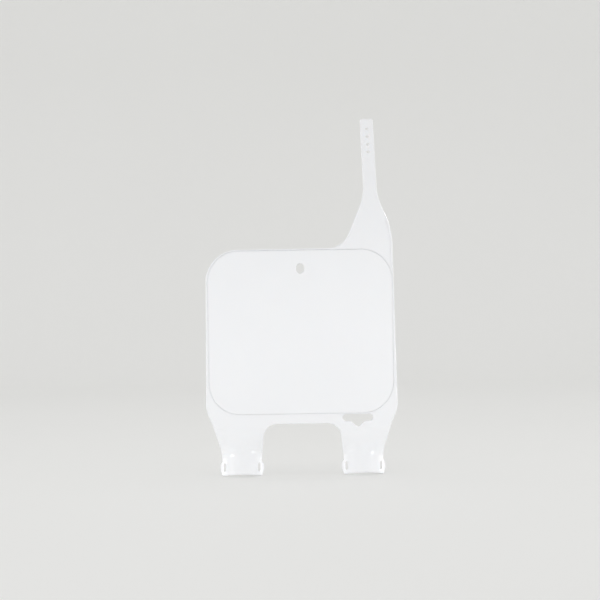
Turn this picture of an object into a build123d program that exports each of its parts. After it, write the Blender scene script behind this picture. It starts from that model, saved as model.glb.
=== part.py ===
from build123d import *
from math import atan2, cos, degrees, hypot, radians, sin, tan
import os

# Racing number board: one moulded sheet with a raised number field, turned-back sides,
# a strap for the handlebar and two legs that end in saddles for the fork legs.
# X is across the board, Z is up, and the front of the board faces -Y.
# While it is built, Y = 0 is the front of the plain sheet round the number field.
# All lengths are in millimetres and all angles in degrees.

# Sheet
WALL = 2.5
EDGE_BEVEL = 1.2

# Board outline, seen from the front
TOP_Z = 342.0
TOP_CORNER_R = 49.0
SIDE_TOP_X = 141.0
SIDE_LOW_X = 144.0
SHOULDER_Z = 101.0
SHOULDER_R = 40.0

# Number field, raised from the sheet and hollow behind, with a fine groove round it
FIELD_SIDE_MARGIN = 2.7
FIELD_TOP_MARGIN = 2.6
FIELD_BOTTOM_Z = 94.4
FIELD_STEP = 1.2
FIELD_BEVEL = 0.5
GROOVE_WIDTH = 0.8
GROOVE_DEPTH = 0.6

# Strap, leaning a little to the left
STRAP_X = 108.2
STRAP_WIDTH = 20.4
STRAP_TIP_WIDTH = 19.2
STRAP_TIP_Z = 535.0
STRAP_LEAN = 2.2
STRAP_TIP_R = 3.0
STRAP_ROOT_Z = 419.0
STRAP_FLARE = 23.0
STRAP_FLARE_R = 75.0
STRAP_INNER_R = 33.0
STRAP_OUTER_R = 110.0
STRAP_SIDE_INSET = 1.3
STRAP_HOLES = 4
STRAP_HOLE_PITCH = 11.6
STRAP_HOLE_D = 4.2
STRAP_HOLE_FROM_TIP = 15.0

# Crease beside the strap's root, this far inside the right edge
CREASE_INSET = 3.1
CREASE_LOW_Z = 312.0
CREASE_TOP_Z = 383.0

# Peg behind the strap's root, for the strap's holes
PEG_DROP = 20.0
PEG_CLEARANCE = 0.4
PEG_NECK_LENGTH = 3.4
PEG_HEAD_D = 6.4
PEG_HEAD_LENGTH = 2.6

# Saddles, which seat on the fork legs
FOOT_X = 92.0
SEAT_R = 33.5
SADDLE_WRAP = 67.7
SADDLE_TILT = 15.0
SADDLE_TOP_Z = 28.5
SADDLE_END_Z = 4.8
SADDLE_Y = 5.5

# Legs, seen from the front
ARCH_Z = 79.2
ARCH_R = 21.0
ARCH_FLARE = 5.2
KNEE_Z = 78.0
KNEE_FLARE = 11.7
KNEE_R = 80.0
ANKLE_Z = 35.0
ANKLE_FLARE = 0.9
ANKLE_R = 65.0
NECK_Z = 21.8
NECK_R = 2.0
EAR_STEP = 3.0
EAR_TOP_Z = 18.0
EAR_LOW_Z = 8.0
EAR_TOP_R = 4.0
EAR_LOW_R = 8.0
TOE_Z = -4.0
TOE_INSET = 4.8
TOE_R = 2.0

# Legs, seen from the side: rows of the bent surface from the flat sheet to the saddle.
# The lean is a share of the saddle's tilt, the edges turn back by shares of its depth,
# and the outer edge turns back along a fold that pulls the surface towards it.
LEG_TOP_DROP = 3.0
LEG_SET_BACK = (0.0, 0.0, 1.5, 7.0)
LEG_LEAN = (0.0, 0.0, 0.08, 0.48)
LEG_INNER_TURN = (0.0, 0.0, 0.02, 0.35)
LEG_OUTER_TURN = (0.0, 0.0, 0.3, 0.65)
LEG_FOLD_X = (27.0, 27.0, 27.0, 16.2)
LEG_FOLD_LEAD = (0.0, 0.0, 0.0, 3.0)
LEG_FOLD_PULL = (1.0, 1.0, 2.0, 0.8)
SADDLE_ROWS = 2
LEG_SPARE = 8.0
SADDLE_SPARE = 4.3

# Slots for the cable ties, one each side of a saddle
TIE_SLOT_OFFSET = 26.0
TIE_SLOT_Z = 13.8
TIE_SLOT_WIDTH = 3.4
TIE_SLOT_HEIGHT = 12.4

# Cable cut-out above the right leg: a bar with a rounded lobe below it
CUTOUT_X = 83.6
CUTOUT_WIDTH = 46.0
CUTOUT_HEIGHT = 10.6
CUTOUT_LEDGE = 2.0
CUTOUT_BEVEL = 0.6
LOBE_WIDTH = 22.0
LOBE_DROP = 8.0
LOBE_TIP_R = 4.5
LOBE_SIDE_R = 2.5

# Bolt hole at the top of the number field, with a collar behind it
BOLT_HOLE_X = 0.7
BOLT_HOLE_DROP = 29.7
BOLT_HOLE_WIDTH = 11.0
BOLT_HOLE_HEIGHT = 14.5
BOLT_HOLE_BEVEL = 0.8
COLLAR_WALL = 2.0
COLLAR_LENGTH = 3.0

# Lips along the turned-back sides
LIP_WALL = 2.2
LIP_DEPTH = 6.0
LIP_LOW_Z = 104.0
LIP_LEFT_TOP_Z = 290.0
LIP_RIGHT_TOP_Z = 378.0
LIP_END_SLOPE = 20.0
LIP_BEVEL = 0.8

# Worked out from the sizes above
SADDLE_R = SEAT_R + WALL
TILT = radians(SADDLE_TILT)
EAR_HALF_WIDTH = SADDLE_R * sin(radians(SADDLE_WRAP))
NECK_HALF_WIDTH = EAR_HALF_WIDTH - EAR_STEP
TOE_HALF_WIDTH = EAR_HALF_WIDTH - TOE_INSET
LEG_TOP_Z = ARCH_Z - LEG_TOP_DROP
LEG_BENT_ROWS = len(LEG_SET_BACK)
LEG_STEP = (LEG_TOP_Z - SADDLE_TOP_Z) / (LEG_BENT_ROWS + SADDLE_ROWS - 1)
SADDLE_ARC = radians(SADDLE_WRAP + SADDLE_SPARE)
SADDLE_HALF = SADDLE_R * sin(SADDLE_ARC)
SADDLE_DEPTH = SADDLE_R - SADDLE_R * cos(SADDLE_ARC)
FIELD_CORNER_R = TOP_CORNER_R - FIELD_SIDE_MARGIN
FIELD_HALF_WIDTH = SIDE_TOP_X - FIELD_SIDE_MARGIN
FIELD_TOP_Z = TOP_Z - FIELD_TOP_MARGIN
HOLLOW_Y = WALL - FIELD_STEP
THROUGH = 2 * SADDLE_R

# Two places this close are the same, and a corner's rounding takes this share of a run
NEAR = 0.01
CORNER_SHARE = 0.48


def saddle_corners():
    """Corners of the right saddle and leg from the shoulder to the arch, with rounding radii."""
    neck_out = FOOT_X + NECK_HALF_WIDTH
    outer = [
        (SIDE_LOW_X, SHOULDER_Z, SHOULDER_R),
        (neck_out + KNEE_FLARE, KNEE_Z, KNEE_R),
        (neck_out + ANKLE_FLARE, ANKLE_Z, ANKLE_R),
    ]
    side = [
        (NECK_HALF_WIDTH, NECK_Z, NECK_R),
        (EAR_HALF_WIDTH, EAR_TOP_Z, EAR_TOP_R),
        (EAR_HALF_WIDTH, EAR_LOW_Z, EAR_LOW_R),
        (TOE_HALF_WIDTH, TOE_Z, TOE_R),
    ]
    outside = [(FOOT_X + x, z, r) for x, z, r in side]
    inside = [(FOOT_X - x, z, r) for x, z, r in reversed(side)]
    arch = [(FOOT_X - NECK_HALF_WIDTH - ARCH_FLARE, ARCH_Z, ARCH_R)]
    return outer + outside + inside + arch


def strap_corners():
    """Corners of the strap and its flared root, from the top edge round to the right side."""
    half = STRAP_WIDTH / 2
    tip_half = STRAP_TIP_WIDTH / 2
    flare = tan(radians(STRAP_FLARE))
    tip_x = strap_centre(STRAP_TIP_Z)
    side_x = SIDE_TOP_X - STRAP_SIDE_INSET
    inner_x = STRAP_X - half - (STRAP_ROOT_Z - TOP_Z) * flare
    outer_z = STRAP_ROOT_Z - (side_x - STRAP_X - half) / flare
    return [
        (inner_x, TOP_Z, STRAP_INNER_R),
        (STRAP_X - half, STRAP_ROOT_Z, STRAP_FLARE_R),
        (tip_x - tip_half, STRAP_TIP_Z, STRAP_TIP_R),
        (tip_x + tip_half, STRAP_TIP_Z, STRAP_TIP_R),
        (STRAP_X + half, STRAP_ROOT_Z, STRAP_FLARE_R),
        (side_x, outer_z, STRAP_OUTER_R),
    ]


def strap_centre(z):
    """X of the strap's centre line at a height."""
    return STRAP_X - (z - STRAP_ROOT_Z) * tan(radians(STRAP_LEAN))


def fitted_radius(before, corner, after, wanted):
    """The wanted rounding, or the most that the runs beside the corner leave room for."""
    run_in = (corner[0] - before[0], corner[1] - before[1])
    run_out = (after[0] - corner[0], after[1] - corner[1])
    cross = run_in[0] * run_out[1] - run_in[1] * run_out[0]
    turn = abs(atan2(cross, run_in[0] * run_out[0] + run_in[1] * run_out[1]))
    room = CORNER_SHARE * min(hypot(*run_in), hypot(*run_out))
    return min(wanted, room / tan(turn / 2))


def board_outline():
    """Front outline of the whole board: straight runs joined by tangent arcs."""
    right = saddle_corners()
    left = [(-x, z, r) for x, z, r in reversed(right)]
    corners = [(-SIDE_TOP_X, TOP_Z, TOP_CORNER_R)] + strap_corners() + right + left
    following = corners[1:] + corners[:1]
    radii = [
        fitted_radius(before, corner, after, corner[2])
        for before, corner, after in zip(corners[-1:] + corners[:-1], corners, following)
    ]
    path = FilletPolyline(*[(x, z) for x, z, r in corners], radius=radii, close=True)
    return Plane.XZ * make_face(path)


def from_front(sketch, start_y, end_y):
    """A drawing in front-view X and Z, made solid from one depth to another."""
    return extrude(Plane.XZ.offset(-start_y) * sketch, start_y - end_y)


def leaning_row(z, y, lean, ends, weight):
    """Points and weights of one row of the leg: places across it and depths behind it."""
    points = [
        (FOOT_X + x, y + depth * cos(lean), z - depth * sin(lean))
        for x, depth in ends
    ]
    return points, [1, weight, 1]


def bent_row(number):
    """A row between the flat sheet and the saddle, folded back along its outer edge."""
    half_top = NECK_HALF_WIDTH + KNEE_FLARE + LEG_SPARE
    half = half_top + (SADDLE_HALF - half_top) * number / LEG_BENT_ROWS
    ends = (
        (-half, LEG_INNER_TURN[number] * SADDLE_DEPTH),
        (LEG_FOLD_X[number], -LEG_FOLD_LEAD[number]),
        (half, LEG_OUTER_TURN[number] * SADDLE_DEPTH),
    )
    z = LEG_TOP_Z - number * LEG_STEP
    return leaning_row(z, LEG_SET_BACK[number], LEG_LEAN[number] * TILT, ends, LEG_FOLD_PULL[number])


def saddle_row(number):
    """A row that follows the saddle's round, counted up from the saddle's top."""
    lead = SADDLE_R - SADDLE_R / cos(SADDLE_ARC)
    ends = ((-SADDLE_HALF, SADDLE_DEPTH), (0, lead), (SADDLE_HALF, SADDLE_DEPTH))
    rise = number * LEG_STEP
    return leaning_row(SADDLE_TOP_Z + rise, SADDLE_Y + rise * tan(TILT), TILT, ends, cos(SADDLE_ARC))


def thickened(face):
    """A sheet of the board's wall behind a front surface."""
    return Solid.thicken(face, WALL, normal_override=(0, 1, 0)).fix()


def plain_board(outline):
    """The sheet with its bent legs and saddles, before anything is bevelled or cut."""
    prism = extrude(outline, THROUGH, both=True)
    rows = [bent_row(number) for number in range(LEG_BENT_ROWS)]
    rows += [saddle_row(number) for number in reversed(range(SADDLE_ROWS))]
    bent = Face.make_bezier_surface([row[0] for row in rows], [row[1] for row in rows])
    leg = thickened((bent & prism).face())
    seat_row = rows[-1][0]
    crown = Edge.make_three_point_arc(seat_row[0], (FOOT_X, SADDLE_Y, SADDLE_TOP_Z), seat_row[-1])
    down = Vector(0, -tan(TILT), -1) * (SADDLE_TOP_Z - SADDLE_END_Z)
    saddle = thickened((Face.extrude(crown, down) & prism).face())
    end = saddle.faces().filter_by(GeomType.PLANE).sort_by(Axis.Z)[0]
    toes = [edge for edge in end.edges() if edge.length < SADDLE_R / 2]
    right = leg.fuse(saddle.fillet(TOE_R, toes))
    sheet = split(extrude(outline, -WALL), Plane.XY.offset(LEG_TOP_Z), keep=Keep.TOP)
    return sheet.solid().fuse(right, right.mirror(Plane.YZ))


def front_rim(board):
    """Edges round the front of the plain board: those that only one front face has."""
    front = [
        face
        for face in board.faces()
        if face.geom_type == GeomType.BEZIER
        or (face.geom_type == GeomType.CYLINDER and abs(face.radius - SADDLE_R) < NEAR)
        or (face.geom_type == GeomType.PLANE and face.normal_at().Y < -cos(TILT))
    ]
    edges = [edge for face in front for edge in face.edges()]
    return [edge for edge in edges if sum(edge.is_same(other) for other in edges) == 1]


def field_shape(inset):
    """Rounded rectangle of the number field, drawn this far inside its edge."""
    width = 2 * (FIELD_HALF_WIDTH - inset)
    height = FIELD_TOP_Z - FIELD_BOTTOM_Z - 2 * inset
    shape = RectangleRounded(width, height, FIELD_CORNER_R - inset)
    return Pos(0, (FIELD_TOP_Z + FIELD_BOTTOM_Z) / 2) * shape


def number_field():
    """Raised plate of the number field, bevelled along its front edge."""
    plate = from_front(field_shape(0), -FIELD_STEP, HOLLOW_Y)
    return chamfer(plate.faces().sort_by(Axis.Y)[0].edges(), FIELD_BEVEL)


def edge_crease(outline):
    """Fine groove along the right edge beside the strap's root."""
    ring = offset(outline, -CREASE_INSET) - offset(outline, -CREASE_INSET - GROOVE_WIDTH)
    side = Pos(STRAP_X, CREASE_LOW_Z) * Rectangle(
        SIDE_LOW_X, CREASE_TOP_Z - CREASE_LOW_Z, align=(Align.MIN, Align.MIN)
    )
    return extrude(ring, GROOVE_DEPTH, both=True) & from_front(side, -WALL, WALL)


def cable_cutout():
    """Front view of the cable cut-out: a bar with round ends and a rounded lobe below it."""
    bar_z = FIELD_BOTTOM_Z - CUTOUT_LEDGE - CUTOUT_HEIGHT / 2
    low_z = bar_z - CUTOUT_HEIGHT / 2
    tip = Pos(CUTOUT_X, low_z - LOBE_DROP + LOBE_TIP_R) * Circle(LOBE_TIP_R)
    root = Line((CUTOUT_X - LOBE_WIDTH / 2, low_z), (CUTOUT_X + LOBE_WIDTH / 2, low_z))
    lobe = make_hull(tip.edges() + root.edges())
    shape = Pos(CUTOUT_X, bar_z) * SlotOverall(CUTOUT_WIDTH, CUTOUT_HEIGHT) + lobe
    ends = [point for point in shape.vertices() if abs(point.Y - low_z) < NEAR]
    ends = [point for point in ends if abs(point.X - CUTOUT_X) < LOBE_WIDTH / 2 + NEAR]
    return fillet(ends, LOBE_SIDE_R)


def cut_rim(board, cut):
    """Front edges of the walls that a cut has left in the board."""
    reach = cut.bounding_box()
    walls = [
        face
        for face in board.faces()
        if face.bounding_box().min.X > reach.min.X - NEAR
        and face.bounding_box().max.X < reach.max.X + NEAR
        and face.bounding_box().min.Z > reach.min.Z - NEAR
        and face.bounding_box().max.Z < reach.max.Z + NEAR
    ]
    edges = [edge for face in walls for edge in face.edges()]
    front_y = min(edge.center().Y for edge in edges)
    return [edge for edge in edges if edge.center().Y < front_y + WALL / 4]


def side_lips(outline):
    """Lips behind the left and right sides, sloped at their ends and bevelled along the back."""
    back_y = WALL + LIP_DEPTH
    ring = extrude(outline, -back_y) - extrude(offset(outline, -LIP_WALL), -back_y)
    lips = []
    for side, top_z in ((-1, LIP_LEFT_TOP_Z), (1, LIP_RIGHT_TOP_Z)):
        side_view = Polygon(
            (WALL, LIP_LOW_Z),
            (back_y, LIP_LOW_Z + LIP_END_SLOPE),
            (back_y, top_z - LIP_END_SLOPE),
            (WALL, top_z),
            align=None,
        )
        lip = ring & extrude(Plane.YZ.offset(side * STRAP_X) * side_view, side * SIDE_LOW_X)
        lips.append(chamfer(lip.faces().filter_by(Plane.XZ).sort_by(Axis.Y)[-1].edges(), LIP_BEVEL))
    return lips


def strap_peg():
    """Mushroom peg behind the strap's root, in the hollow of the number field."""
    place = Pos(STRAP_X, TOP_Z - PEG_DROP)
    head_y = HOLLOW_Y + PEG_NECK_LENGTH
    neck_r = (STRAP_HOLE_D - PEG_CLEARANCE) / 2
    neck = from_front(place * Circle(neck_r), HOLLOW_Y - FIELD_STEP, head_y)
    head = Plane.XZ.offset(-head_y) * (place * Circle(PEG_HEAD_D / 2))
    taper = degrees(atan2(PEG_HEAD_D / 2 - neck_r, PEG_HEAD_LENGTH))
    return neck + extrude(head, -PEG_HEAD_LENGTH, taper=taper)


def strap_holes():
    """Front view of the row of holes near the strap's tip."""
    rise = STRAP_HOLE_PITCH * cos(radians(STRAP_LEAN))
    heights = [STRAP_TIP_Z - STRAP_HOLE_FROM_TIP - rise * number for number in range(STRAP_HOLES)]
    return [Pos(strap_centre(z), z) * Circle(STRAP_HOLE_D / 2) for z in heights]


def tie_slots():
    """Front view of the upright slots for the cable ties, two in each saddle."""
    slot = Rot(0, 0, 90) * SlotOverall(TIE_SLOT_HEIGHT, TIE_SLOT_WIDTH)
    feet = (-FOOT_X, FOOT_X)
    sides = (-TIE_SLOT_OFFSET, TIE_SLOT_OFFSET)
    return [Pos(foot + side, TIE_SLOT_Z) * slot for foot in feet for side in sides]


def bolt_hole(grow):
    """Front view of the upright oval bolt hole, drawn this much larger all round."""
    hole = SlotOverall(BOLT_HOLE_HEIGHT + 2 * grow, BOLT_HOLE_WIDTH + 2 * grow)
    return Pos(BOLT_HOLE_X, TOP_Z - BOLT_HOLE_DROP) * (Rot(0, 0, 90) * hole)


outline = board_outline()
board = plain_board(outline)
board = board.chamfer(EDGE_BEVEL, None, front_rim(board))

cutout = from_front(cable_cutout(), -THROUGH, THROUGH)
board = Part() + board - cutout
board = chamfer(cut_rim(board, cutout), CUTOUT_BEVEL)

board -= from_front(field_shape(-GROOVE_WIDTH), -WALL, GROOVE_DEPTH)
board += number_field()
board -= from_front(field_shape(WALL), HOLLOW_Y, THROUGH)
board += from_front(bolt_hole(COLLAR_WALL), HOLLOW_Y, HOLLOW_Y + COLLAR_LENGTH)
through_bolt = from_front(bolt_hole(0), -THROUGH, THROUGH)
board -= through_bolt
board = chamfer(cut_rim(board, through_bolt), BOLT_HOLE_BEVEL)

board -= edge_crease(outline)
board += side_lips(outline)
board += strap_peg()
board -= [from_front(shape, -THROUGH, THROUGH) for shape in strap_holes() + tie_slots()]

box = board.bounding_box()
number_board = Pos(-box.center().X, -box.center().Y, -box.min.Z) * board
number_board.label = "number_board"
os.makedirs("parts", exist_ok=True)
export_step(number_board, "parts/number_board.step")
print("front of the plain sheet at Y", -box.center().Y, "and bottom raised by", -box.min.Z)
print("size", box.size, "volume", number_board.volume)
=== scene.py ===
"""Looks and studio for the moulded racing number board, laid out as a Blender add-on."""

from math import cos, radians

import bpy
import numpy as np
from bpy.props import FloatProperty, FloatVectorProperty, PointerProperty
from bpy.types import Operator, Panel, PropertyGroup
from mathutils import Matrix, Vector


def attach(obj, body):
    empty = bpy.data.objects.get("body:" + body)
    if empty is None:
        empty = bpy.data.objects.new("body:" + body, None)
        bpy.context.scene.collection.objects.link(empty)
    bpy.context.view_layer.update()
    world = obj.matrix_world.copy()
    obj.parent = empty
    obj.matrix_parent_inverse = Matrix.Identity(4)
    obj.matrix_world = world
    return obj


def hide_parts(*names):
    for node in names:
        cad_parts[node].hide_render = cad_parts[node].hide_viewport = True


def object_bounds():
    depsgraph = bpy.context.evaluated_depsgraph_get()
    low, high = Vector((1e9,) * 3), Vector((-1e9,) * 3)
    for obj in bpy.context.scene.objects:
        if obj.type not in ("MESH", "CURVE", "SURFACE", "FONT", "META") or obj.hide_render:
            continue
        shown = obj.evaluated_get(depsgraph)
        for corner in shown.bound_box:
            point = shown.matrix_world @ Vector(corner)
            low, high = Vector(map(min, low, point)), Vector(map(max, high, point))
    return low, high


bl_info = {
    "name": "Racing Number Board",
    "version": (1, 0, 0),
    "blender": (4, 5, 0),
    "location": "View3D > Sidebar > Number Board",
    "description": "Finishes the moulded number board and sets up its studio",
    "category": "Object",
}

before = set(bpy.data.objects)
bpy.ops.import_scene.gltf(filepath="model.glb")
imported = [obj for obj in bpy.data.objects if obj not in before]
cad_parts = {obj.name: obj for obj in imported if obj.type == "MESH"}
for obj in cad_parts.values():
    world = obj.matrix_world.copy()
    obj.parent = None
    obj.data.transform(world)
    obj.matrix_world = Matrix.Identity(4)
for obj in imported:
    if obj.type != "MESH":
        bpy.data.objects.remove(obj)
CAD_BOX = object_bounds()

NODE = "number_board"
PIECE = "moulded_board"
DRIFT = "Slow Drift"
JOIN_DISTANCE = 0.000001
MM_PER_M = 1000

# The plastic: how it bends light, how much light spreads in it and how far, how far back its surface faces
# where the polish begins to give way and where it is all satin, and how uneven its gloss is
PLASTIC_IOR = 1.49
SPREAD_SHARE = 0.05
SPREAD_DEPTHS = (0.003, 0.0025, 0.0022)
POLISHED_TO = 0.1
SATIN_FROM = 0.6
UNEVEN_GLOSS = 0.015

# How many finer steps the slow drift has
DRIFT_DETAIL = 2

# The paper: the spacing of its drift, its deeper shade as a share of its colour, and how it shines
PAPER_DRIFT = 0.8
PAPER_SHADE = 0.98
PAPER_ROUGHNESS = 0.9
PAPER_SPECULAR = 0.1

# The photograph: a square frame on a 36 mm sensor, 1.5 mm of the board to a pixel
PICTURE_PIXELS = 600
PIXEL_SIZE = 0.0015
SENSOR = 0.036
VIEW_X = -0.0001
VIEW_Z = 0.2645

# The paper sweep: its front edge, where it bends, the bend's radius, its height, half its width, and the
# points along the bend and across
FLOOR_FRONT_Y = -12.0
BEND_Y = 2.2
BEND_R = 1.2
WALL_Z = 4.0
HALF_WIDTH = 12.0
BEND_POINTS = 25
ACROSS_POINTS = 9

# Places of the soft boxes, the points they face and the sides of the large ones
FEET = (0, 0, 0.05)
MIDDLE = (0, 0, 0.25)
LEFT_KEY_PLACE = (-0.57, -0.4, 0.095)
RIGHT_KEY_PLACE = (0.53, -0.5, 0.1)
LEFT_SIDE_PLACE = (-1.97, 0.35, 0.45)
RIGHT_SIDE_PLACE = (1.97, 0.35, 0.45)
TOP_PLACE = (0, -0.3, 2.2)
FRONT_PLACE = (0, -2.4, -0.02)
LOW_PLACE = (0, -1.3, -1.6)
REAR_PLACE = (1.4, 1.6, 1.4)
SIDE_BOX_SIZE = 1.2
TOP_BOX_SIZE = 1.5
FRONT_BOX_SIZE = 0.9
LOW_BOX_SIZE = 1.5
REAR_BOX_SIZE = 1.0


class BoardFinish(PropertyGroup):
    """Colours and surface of the moulded plastic."""

    colour: FloatVectorProperty(
        name="Colour",
        description="White of the moulded plastic",
        subtype="COLOR",
        size=3,
        min=0,
        max=1,
        default=(0.853, 0.86, 0.877),
    )
    shade: FloatVectorProperty(
        name="Shade",
        description="Slightly deeper white that the plastic drifts to",
        subtype="COLOR",
        size=3,
        min=0,
        max=1,
        default=(0.829, 0.838, 0.857),
    )
    front_roughness: FloatProperty(
        name="Front Roughness",
        description="Roughness of the polished front",
        min=0,
        max=1,
        default=0.18,
    )
    back_roughness: FloatProperty(
        name="Back Roughness",
        description="Roughness of the satin back",
        min=0,
        max=1,
        default=0.42,
    )
    peel_size: FloatProperty(
        name="Peel Size",
        description="Spacing of the fine skin left by the mould",
        unit="LENGTH",
        default=0.0012,
    )
    peel_height: FloatProperty(
        name="Peel Height",
        description="Height of the fine skin",
        unit="LENGTH",
        precision=6,
        default=0.000004,
    )
    wave_size: FloatProperty(
        name="Wave Size",
        description="Spacing of the slow drift in colour and gloss that cooling leaves",
        unit="LENGTH",
        default=0.07,
    )
    corner_angle: FloatProperty(
        name="Corner Angle",
        description="Edges that turn by more than this stay sharp, and bevels shade as rounds",
        subtype="ANGLE",
        default=radians(62),
    )


class StudioSettings(PropertyGroup):
    """Backdrop, lights and camera."""

    backdrop_colour: FloatVectorProperty(
        name="Backdrop",
        description="Colour of the paper sweep",
        subtype="COLOR",
        size=3,
        min=0,
        max=1,
        default=(0.9, 0.9, 0.885),
    )
    horizon_colour: FloatVectorProperty(
        name="Horizon",
        description="Colour seen past the edge of the paper, close to that of the lit paper",
        subtype="COLOR",
        size=3,
        min=0,
        max=1,
        default=(0.72, 0.72, 0.708),
    )
    ambient: FloatProperty(
        name="Ambient",
        description="Strength of the light from all round",
        min=0,
        default=0.82,
    )
    left_power: FloatProperty(
        name="Left Key",
        description="Power of the small soft box at the left, close to the floor",
        unit="POWER",
        default=0.43,
    )
    right_power: FloatProperty(
        name="Right Key",
        description="Power of the small soft box at the right, close to the floor",
        unit="POWER",
        default=0.5,
    )
    side_power: FloatProperty(
        name="Side Lights",
        description="Power of the large soft boxes beside the board, which light its turned-back rims",
        unit="POWER",
        default=8,
    )
    top_power: FloatProperty(
        name="Top Light",
        description="Power of the large soft box above the board",
        unit="POWER",
        default=4,
    )
    front_power: FloatProperty(
        name="Front Light",
        description="Power of the soft box behind the camera, which the flat field mirrors",
        unit="POWER",
        default=1.9,
    )
    low_power: FloatProperty(
        name="Low Light",
        description="Power of the large soft box low in front, which lights the bent legs from below",
        unit="POWER",
        default=8.5,
    )
    rear_power: FloatProperty(
        name="Rear Light",
        description="Power of the large soft box behind the board",
        unit="POWER",
        default=18,
    )
    key_size: FloatProperty(
        name="Key Size",
        description="Side of each small soft box",
        unit="LENGTH",
        default=0.13,
    )
    lens: FloatProperty(
        name="Lens",
        description="Focal length in millimetres",
        default=85,
    )
    roll: FloatProperty(
        name="Roll",
        description="How far the camera leans to the right",
        subtype="ANGLE",
        default=radians(1.0),
    )


def new_group(name, inputs, outputs):
    """An empty shader node group with named sockets, its input node and its output node."""
    tree = bpy.data.node_groups.new(name, "ShaderNodeTree")
    for way, sockets in (("INPUT", inputs), ("OUTPUT", outputs)):
        for socket, kind in sockets:
            tree.interface.new_socket(socket, in_out=way, socket_type=kind)
    return tree, tree.nodes.new("NodeGroupInput"), tree.nodes.new("NodeGroupOutput")


def drift_group():
    """Slow drift from 0 to 1 over a surface, smooth noise of one spacing, built once."""
    if DRIFT in bpy.data.node_groups:
        return bpy.data.node_groups[DRIFT]
    tree, given, made = new_group(
        DRIFT,
        [("Vector", "NodeSocketVector"), ("Spacing", "NodeSocketFloat")],
        [("Drift", "NodeSocketFloat")],
    )
    divide = tree.nodes.new("ShaderNodeMath")
    divide.operation = "DIVIDE"
    divide.inputs[0].default_value = 1
    noise = tree.nodes.new("ShaderNodeTexNoise")
    noise.inputs["Detail"].default_value = DRIFT_DETAIL
    links = tree.links
    links.new(given.outputs["Spacing"], divide.inputs[1])
    links.new(given.outputs["Vector"], noise.inputs["Vector"])
    links.new(divide.outputs[0], noise.inputs["Scale"])
    links.new(noise.outputs["Fac"], made.inputs["Drift"])
    return tree


def new_material(name):
    """A material with nodes, and its tree, shader and Object coordinates."""
    material = bpy.data.materials.new(name)
    material.use_nodes = True
    tree = material.node_tree
    shader = tree.nodes["Principled BSDF"]
    place = tree.nodes.new("ShaderNodeTexCoord").outputs["Object"]
    return material, tree, shader, place


def drift_node(tree, place, spacing):
    """Places the slow drift in a material and returns its output."""
    node = tree.nodes.new("ShaderNodeGroup")
    node.node_tree = drift_group()
    node.inputs["Spacing"].default_value = spacing
    tree.links.new(place, node.inputs["Vector"])
    return node.outputs["Drift"]


def mixed_colour(tree, factor, first, second):
    """A colour that goes from the first to the second with a factor."""
    mix = tree.nodes.new("ShaderNodeMix")
    mix.data_type = "RGBA"
    tree.links.new(factor, mix.inputs["Factor"])
    mix.inputs["A"].default_value = (*first, 1)
    mix.inputs["B"].default_value = (*second, 1)
    return mix.outputs["Result"]


def ranged(tree, value, low, high, to_low, to_high):
    """A value taken from one range to another."""
    node = tree.nodes.new("ShaderNodeMapRange")
    tree.links.new(value, node.inputs["Value"])
    node.inputs["From Min"].default_value = low
    node.inputs["From Max"].default_value = high
    node.inputs["To Min"].default_value = to_low
    node.inputs["To Max"].default_value = to_high
    return node.outputs["Result"]


def bumped(tree, height, distance):
    """A bump of a given height."""
    bump = tree.nodes.new("ShaderNodeBump")
    bump.inputs["Distance"].default_value = distance
    tree.links.new(height, bump.inputs["Height"])
    return bump.outputs["Normal"]


def plastic_material(finish):
    """White moulded plastic: polished in front, satin behind, with a fine skin."""
    material, tree, shader, place = new_material("White Moulded Plastic")
    slow = drift_node(tree, place, finish.wave_size)
    fine = drift_node(tree, place, finish.peel_size)
    shader.inputs["IOR"].default_value = PLASTIC_IOR
    shader.inputs["Subsurface Weight"].default_value = SPREAD_SHARE
    shader.inputs["Subsurface Radius"].default_value = SPREAD_DEPTHS
    shader.inputs["Subsurface Scale"].default_value = 1
    colour = mixed_colour(tree, slow, finish.colour, finish.shade)
    tree.links.new(colour, shader.inputs["Base Color"])

    normal = tree.nodes.new("ShaderNodeNewGeometry").outputs["Normal"]
    parts = tree.nodes.new("ShaderNodeSeparateXYZ")
    tree.links.new(normal, parts.inputs["Vector"])
    polished, satin = finish.front_roughness, finish.back_roughness
    facing = ranged(tree, parts.outputs["Y"], POLISHED_TO, SATIN_FROM, polished, satin)
    uneven = ranged(tree, slow, 0, 1, -UNEVEN_GLOSS, UNEVEN_GLOSS)
    roughness = tree.nodes.new("ShaderNodeMath")
    tree.links.new(facing, roughness.inputs[0])
    tree.links.new(uneven, roughness.inputs[1])
    tree.links.new(roughness.outputs[0], shader.inputs["Roughness"])

    tree.links.new(bumped(tree, fine, finish.peel_height), shader.inputs["Normal"])
    return material


def read_loose(mesh):
    """Points, triangles and corner normals of a mesh of loose triangles, as arrays."""
    points = np.empty(3 * len(mesh.vertices))
    mesh.vertices.foreach_get("co", points)
    corners = np.empty(len(mesh.loops), dtype=int)
    mesh.loops.foreach_get("vertex_index", corners)
    normals = np.empty(3 * len(mesh.loops))
    mesh.corner_normals.foreach_get("vector", normals)
    return points.reshape(-1, 3), corners.reshape(-1, 3), normals.reshape(-1, 3)


def face_numbers(triangles, count):
    """A number for each point that is the same over one face of the solid.

    The triangles of a face share points and those of two faces don't, so every point takes the lowest
    number among the points it is joined to, again and again until nothing changes.
    """
    numbers = np.arange(count)
    while True:
        lowest = numbers[triangles].min(axis=1)
        settled = numbers.copy()
        for corner in range(3):
            np.minimum.at(settled, triangles[:, corner], lowest)
        settled = settled[settled]
        if np.array_equal(settled, numbers):
            return numbers
        numbers = settled


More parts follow.
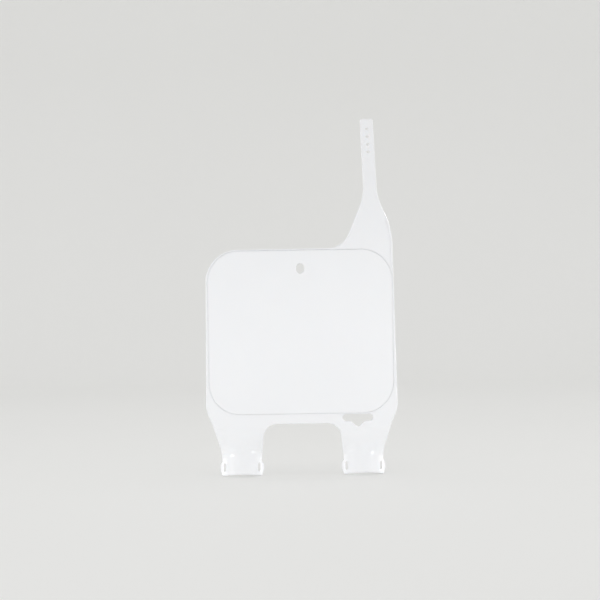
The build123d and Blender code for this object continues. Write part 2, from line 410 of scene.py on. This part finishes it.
def rounded_normals(places, normals, weights, corner_angle):
    """Normals that shade narrow bevels as rounds.

    At each place, a point's new normal is the sum of the normals there that turn from its own by less
    than the corner angle, each times its weight.
    """
    total = normals * weights[:, None]
    order = np.argsort(places, kind="stable")
    for step in range(1, np.bincount(places).max()):
        first, second = order[:-step], order[step:]
        turn = np.sum(normals[first] * normals[second], axis=1)
        joined = (places[first] == places[second]) & (turn > cos(corner_angle))
        first, second = first[joined], second[joined]
        total[first] += normals[second] * weights[second, None]
        total[second] += normals[first] * weights[first, None]
    return total / np.linalg.norm(total, axis=1, keepdims=True)


def joined_mesh(name, loose, corner_angle):
    """The board's loose triangles as one closed mesh, with its bevels shaded as rounds.

    Points at one place become one. A face of the solid weighs in with the square of its area, so the
    wide faces keep their own normals and the narrow bevels between them take theirs up.
    """
    points, triangles, corner_normals = read_loose(loose)
    normals = np.zeros_like(points)
    normals[triangles.ravel()] = corner_normals
    sides = points[triangles[:, 1:]] - points[triangles[:, :1]]
    areas = np.linalg.norm(np.cross(sides[:, 0], sides[:, 1]), axis=1)
    faces = face_numbers(triangles, len(points))
    weights = np.bincount(faces[triangles[:, 0]], areas, len(points))[faces] ** 2
    grid = np.round(points / JOIN_DISTANCE).astype(np.int64)
    firsts, places = np.unique(grid, axis=0, return_index=True, return_inverse=True)[1:]
    places = places.ravel()
    normals = rounded_normals(places, normals, weights, corner_angle)
    mesh = bpy.data.meshes.new(name)
    mesh.from_pydata(points[firsts], [], places[triangles])
    mesh.polygons.foreach_set("use_smooth", np.ones(len(triangles), dtype=bool))
    mesh.normals_split_custom_set(normals[triangles.ravel()])
    mesh.update()
    return mesh


def paper_material(colour):
    """Pale matt paper of the backdrop, hardly uneven."""
    material, tree, shader, place = new_material("Backdrop Paper")
    slow = drift_node(tree, place, PAPER_DRIFT)
    deeper = tuple(PAPER_SHADE * part for part in colour)
    tree.links.new(mixed_colour(tree, slow, colour, deeper), shader.inputs["Base Color"])
    shader.inputs["Roughness"].default_value = PAPER_ROUGHNESS
    shader.inputs["Specular IOR Level"].default_value = PAPER_SPECULAR
    return material


def grid_mesh(name, points):
    """A smooth mesh over a grid of points, an array of rows by columns by 3."""
    rows, columns = points.shape[:2]
    first = (np.arange(rows - 1)[:, None] * columns + np.arange(columns - 1)).ravel()
    faces = np.stack([first, first + 1, first + columns + 1, first + columns], axis=1)
    mesh = bpy.data.meshes.new(name)
    mesh.from_pydata(points.reshape(-1, 3), [], faces)
    mesh.polygons.foreach_set("use_smooth", np.ones(len(faces), dtype=bool))
    mesh.update()
    return mesh


def sweep_points(front_y, bend_y, bend_r, wall_z, half_width):
    """Backdrop: a floor, a quarter round and a wall, carried straight across.

    The profile goes along Y at Z 0 to the bend, turns up through a quarter circle and ends at the
    wall's height, and each of its points is repeated from the left edge to the right edge.
    """
    turn = np.linspace(0, np.pi / 2, BEND_POINTS)
    profile_y = np.concatenate([[front_y], bend_y + bend_r * np.sin(turn), [bend_y + bend_r]])
    profile_z = np.concatenate([[0.0], bend_r - bend_r * np.cos(turn), [wall_z]])
    across = np.linspace(-half_width, half_width, ACROSS_POINTS)
    grid_x, grid_y = np.meshgrid(across, profile_y)
    grid_z = np.repeat(profile_z[:, None], across.size, axis=1)
    return np.stack([grid_x, grid_y, grid_z], axis=2)


def link(name, data):
    """A new object for some data, in the scene."""
    made = bpy.data.objects.new(name, data)
    bpy.context.scene.collection.objects.link(made)
    return made


def soft_box(name, power, size, place, aim):
    """A square area light at a place, facing the point it is aimed at."""
    data = bpy.data.lights.new(name, "AREA")
    data.shape = "SQUARE"
    data.size = size
    data.energy = power
    made = link(name, data)
    made.visible_camera = False
    made.location = place
    made.rotation_euler = (Vector(place) - Vector(aim)).to_track_quat("Z", "Y").to_euler()
    return made


def keep_off_backdrop(lights, pieces):
    """Lets some lights reach only the pieces, so the paper has no bright patches and hides no light."""
    reached = bpy.data.collections.new("lit_pieces")
    for piece in pieces:
        reached.objects.link(piece)
    for light in lights:
        light.light_linking.receiver_collection = reached
        light.light_linking.blocker_collection = reached


def studio_world(ambient, horizon):
    """White light from all round, which the camera sees as the horizon's colour."""
    world = bpy.data.worlds.new("studio")
    world.use_nodes = True
    tree = world.node_tree
    light = tree.nodes["Background"]
    light.inputs["Color"].default_value = (1, 1, 1, 1)
    light.inputs["Strength"].default_value = ambient
    seen = tree.nodes.new("ShaderNodeBackground")
    seen.inputs["Color"].default_value = (*horizon, 1)
    path = tree.nodes.new("ShaderNodeLightPath")
    mix = tree.nodes.new("ShaderNodeMixShader")
    tree.links.new(path.outputs["Is Camera Ray"], mix.inputs["Fac"])
    tree.links.new(light.outputs[0], mix.inputs[1])
    tree.links.new(seen.outputs[0], mix.inputs[2])
    tree.links.new(mix.outputs[0], tree.nodes["World Output"].inputs["Surface"])
    return world


def front_camera(lens, roll):
    """A camera that faces the front from as far away as gives a pixel its size on the board."""
    data = bpy.data.cameras.new("camera")
    data.lens = lens
    data.sensor_width = SENSOR * MM_PER_M
    made = link("camera", data)
    distance = PICTURE_PIXELS * PIXEL_SIZE * lens / data.sensor_width
    front_y = CAD_BOX[0].y
    made.location = (VIEW_X, front_y - distance, VIEW_Z)
    made.rotation_euler = (radians(90), roll, 0)
    return made


class BOARD_OT_finish(Operator):
    """Gives the number board its moulded white plastic"""

    bl_idname = "number_board.finish"
    bl_label = "Finish Number Board"

    def execute(self, context):
        finish = context.scene.board_finish
        mesh = joined_mesh(PIECE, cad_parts[NODE].data, finish.corner_angle)
        mesh.materials.append(plastic_material(finish))
        board = link(PIECE, mesh)
        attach(board, "root")
        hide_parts(NODE)
        return {"FINISHED"}


class BOARD_OT_studio(Operator):
    """Sets up the backdrop, the lights and the camera"""

    bl_idname = "number_board.studio"
    bl_label = "Set Up Studio"

    def execute(self, context):
        scene = context.scene
        studio = scene.board_studio
        sweep = sweep_points(FLOOR_FRONT_Y, BEND_Y, BEND_R, WALL_Z, HALF_WIDTH)
        paper = link("backdrop", grid_mesh("backdrop", sweep))
        paper.data.materials.append(paper_material(studio.backdrop_colour))

        near = [
            soft_box("left_key", studio.left_power, studio.key_size, LEFT_KEY_PLACE, FEET),
            soft_box("right_key", studio.right_power, studio.key_size, RIGHT_KEY_PLACE, FEET),
            soft_box("left_side_box", studio.side_power, SIDE_BOX_SIZE, LEFT_SIDE_PLACE, MIDDLE),
            soft_box("right_side_box", studio.side_power, SIDE_BOX_SIZE, RIGHT_SIDE_PLACE, MIDDLE),
            soft_box("front_box", studio.front_power, FRONT_BOX_SIZE, FRONT_PLACE, MIDDLE),
            soft_box("low_box", studio.low_power, LOW_BOX_SIZE, LOW_PLACE, MIDDLE),
            soft_box("rear_box", studio.rear_power, REAR_BOX_SIZE, REAR_PLACE, MIDDLE),
        ]
        keep_off_backdrop(near, [bpy.data.objects[PIECE]])
        soft_box("top_box", studio.top_power, TOP_BOX_SIZE, TOP_PLACE, MIDDLE)
        scene.world = studio_world(studio.ambient, studio.horizon_colour)
        scene.view_settings.view_transform = "Standard"
        scene.camera = front_camera(studio.lens, studio.roll)
        return {"FINISHED"}


class BOARD_PT_panel(Panel):
    """Lists the steps and their settings"""

    bl_idname = "BOARD_PT_panel"
    bl_label = "Number Board"
    bl_space_type = "VIEW_3D"
    bl_region_type = "UI"
    bl_category = "Number Board"

    def draw(self, context):
        layout = self.layout
        layout.operator(BOARD_OT_finish.bl_idname)
        for name in BoardFinish.__annotations__:
            layout.prop(context.scene.board_finish, name)
        layout.operator(BOARD_OT_studio.bl_idname)
        for name in StudioSettings.__annotations__:
            layout.prop(context.scene.board_studio, name)


CLASSES = (BoardFinish, StudioSettings, BOARD_OT_finish, BOARD_OT_studio, BOARD_PT_panel)


def register():
    """Adds the classes and the scene's settings"""
    for cls in CLASSES:
        bpy.utils.register_class(cls)
    bpy.types.Scene.board_finish = PointerProperty(type=BoardFinish)
    bpy.types.Scene.board_studio = PointerProperty(type=StudioSettings)


def unregister():
    """Takes the settings and the classes away again"""
    del bpy.types.Scene.board_studio
    del bpy.types.Scene.board_finish
    for cls in reversed(CLASSES):
        bpy.utils.unregister_class(cls)


def main():
    register()
    bpy.ops.number_board.finish()
    bpy.ops.number_board.studio()


if __name__ == "__main__":
    main()
